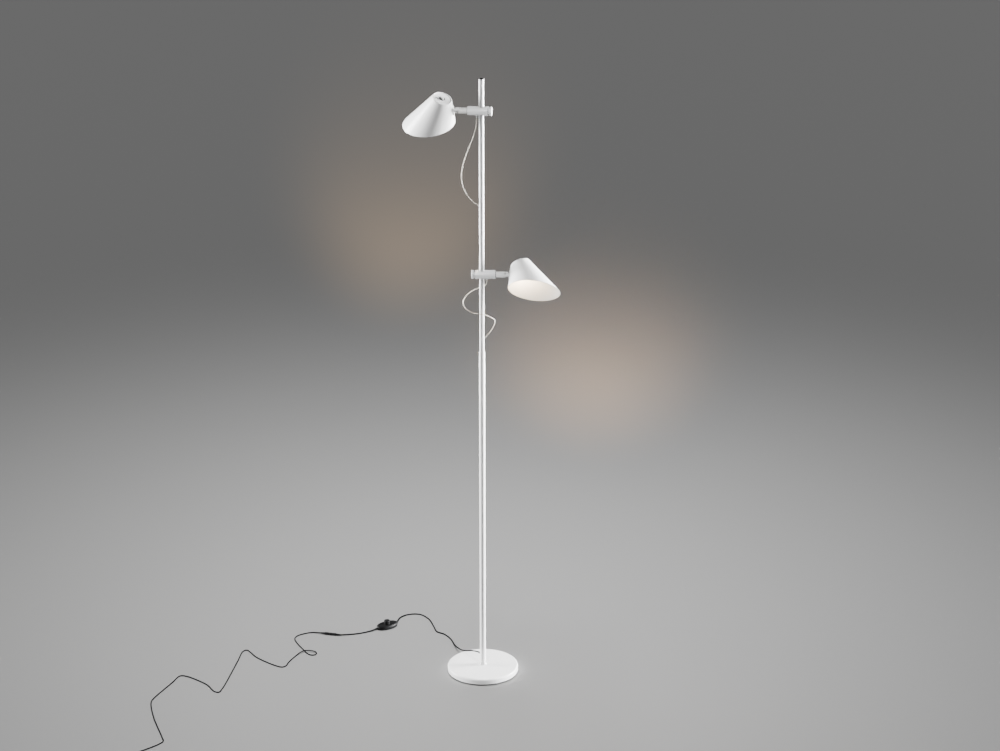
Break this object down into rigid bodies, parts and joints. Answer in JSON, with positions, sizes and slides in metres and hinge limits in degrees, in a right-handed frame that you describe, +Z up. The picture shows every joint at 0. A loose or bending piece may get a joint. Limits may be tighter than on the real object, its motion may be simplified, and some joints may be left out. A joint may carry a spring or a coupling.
{
  "type": "floor lamp",
  "caption": "Floor lamp with a disc base, a slim two-stage pole, and conical heads on sliding clamps that swivel, roll and tilt, with a foot switch on its lead.",
  "frame": {"origin": "centre of the base's underside, on the pole's axis, at floor level", "axes": "+Z up along the pole; +X to the side that the lower head points to; -Y towards someone facing the lamp; the supply lead leaves towards -X"},
  "size_m": [1.2235, 1.0143, 1.801],
  "materials": {
    "base_white": "satin powder coat, white",
    "pole_white": "smooth gloss enamel, white",
    "clamp_white": "satin enamel, white",
    "arm_metal": "satin, pale grey enamel over turned metal",
    "shade_white": "satin enamel, white inside and out",
    "cast_iron": "as cast",
    "rubber_black": "matt",
    "steel": "zinc plated",
    "nylon": "natural nylon",
    "plastic_black": "moulded, fine texture",
    "plastic_white": "moulded, satin",
    "cable_beige": "smooth sheath, off-white",
    "cable_black": "smooth sheath, black",
    "sink": "bare",
    "board": "solder mask",
    "lens": "frosted, lit warm",
    "pin_metal": "nickel plated"
  },
  "bodies": {
    "stand": {"base_cover": "base_white", "base_weight": "cast_iron", "base_pad": "rubber_black", "pole_collar": "base_white", "base_bolt": "steel", "base_washer": "steel", "foot_plug": "steel", "lower_tube": "pole_white", "tube_coupler": "steel", "upper_tube": "pole_white", "pole_plug": "plastic_black", "hole_grommets": "plastic_white", "riser_cable": "cable_black", "upper_cable": "cable_beige", "lower_cable": "cable_beige", "lead_to_switch": "cable_black", "foot_switch_base": "plastic_black", "foot_switch_cover": "plastic_black", "foot_switch_core": "plastic_black", "lead_to_connector": "cable_black", "connector_socket": "plastic_black", "connector_plug": "plastic_black", "supply_lead": "cable_black", "supply_coil": "cable_black", "power_supply": "plastic_black", "power_supply_pins": "pin_metal"},
    "foot_button": {"foot_button": "plastic_black"},
    "upper_slider": {"upper_bush": "nylon"},
    "upper_clamp": {"upper_clamp": "clamp_white", "upper_pressure_pad": "nylon", "upper_arm_screw": "steel"},
    "upper_knob": {"upper_knob": "clamp_white"},
    "upper_arm": {"upper_arm": "arm_metal", "upper_friction_ring": "rubber_black", "upper_pivot_pin": "steel"},
    "upper_head": {"upper_bracket": "arm_metal", "upper_shade": "shade_white", "upper_switch_body": "plastic_black", "upper_heat_sink": "sink", "upper_led_board": "board", "upper_lens": "lens", "upper_lens_ring": "plastic_white"},
    "upper_button": {"upper_button": "plastic_white"},
    "lower_slider": {"lower_bush": "nylon"},
    "lower_clamp": {"lower_clamp": "clamp_white", "lower_pressure_pad": "nylon", "lower_arm_screw": "steel"},
    "lower_knob": {"lower_knob": "clamp_white"},
    "lower_arm": {"lower_arm": "arm_metal", "lower_friction_ring": "rubber_black", "lower_pivot_pin": "steel"},
    "lower_head": {"lower_bracket": "arm_metal", "lower_shade": "shade_white", "lower_switch_body": "plastic_black", "lower_heat_sink": "sink", "lower_led_board": "board", "lower_lens": "lens", "lower_lens_ring": "plastic_white"},
    "lower_button": {"lower_button": "plastic_white"}
  },
  "joints": [
    {"name": "upper_slide", "type": "slide", "parent": "stand", "child": "upper_slider", "axis": [0, 0, 1], "range_m": [-0.12, 0.05], "deforming": ["upper_cable"]},
    {"name": "upper_swivel", "type": "hinge", "parent": "upper_slider", "child": "upper_clamp", "pos_m": [0, 0, 1.709], "axis": [0, 0, 1], "range_deg": [-150, 150], "deforming": ["upper_cable"]},
    {"name": "upper_knob_turn", "type": "hinge", "parent": "upper_clamp", "child": "upper_knob", "pos_m": [0, 0, 1.709], "axis": [0.9903, -0.1392, 0], "range_deg": [0, 180]},
    {"name": "upper_roll", "type": "hinge", "parent": "upper_clamp", "child": "upper_arm", "pos_m": [0, 0, 1.709], "axis": [-0.9903, 0.1392, 0], "range_deg": [-65.5, 114.5]},
    {"name": "upper_tilt", "type": "hinge", "parent": "upper_arm", "child": "upper_head", "pos_m": [-0.06536, 0.00919, 1.709], "axis": [-0.1266, -0.9011, -0.4147], "range_deg": [-53.5, 46.5]},
    {"name": "upper_button_press", "type": "slide", "parent": "upper_head", "child": "upper_button", "axis": [-0.2845, 0.4335, -0.8551], "range_m": [0, 0.002], "stiffness_N_per_m": 400, "springref_m": -0.002},
    {"name": "lower_slide", "type": "slide", "parent": "stand", "child": "lower_slider", "axis": [0, 0, 1], "range_m": [-0.12, 0.04], "deforming": ["lower_cable"]},
    {"name": "lower_swivel", "type": "hinge", "parent": "lower_slider", "child": "lower_clamp", "pos_m": [0, 0, 1.24], "axis": [0, 0, 1], "range_deg": [-150, 150], "deforming": ["lower_cable"]},
    {"name": "lower_knob_turn", "type": "hinge", "parent": "lower_clamp", "child": "lower_knob", "pos_m": [0, 0, 1.24], "axis": [-0.9998, 0.0175, 0], "range_deg": [0, 180]},
    {"name": "lower_roll", "type": "hinge", "parent": "lower_clamp", "child": "lower_arm", "pos_m": [0, 0, 1.24], "axis": [0.9998, -0.0175, 0], "range_deg": [-49, 131]},
    {"name": "lower_tilt", "type": "hinge", "parent": "lower_arm", "child": "lower_head", "pos_m": [0.06599, -0.00115, 1.24], "axis": [0.0132, 0.7546, -0.6561], "range_deg": [-56.5, 43.5]},
    {"name": "lower_button_press", "type": "slide", "parent": "lower_head", "child": "lower_button", "axis": [0.2814, -0.6324, -0.7217], "range_m": [0, 0.002], "stiffness_N_per_m": 400, "springref_m": -0.002},
    {"name": "foot_button_press", "type": "slide", "parent": "stand", "child": "foot_button", "axis": [0, 0, -1], "range_m": [0, 0.003], "stiffness_N_per_m": 800, "springref_m": -0.002}
  ]
}
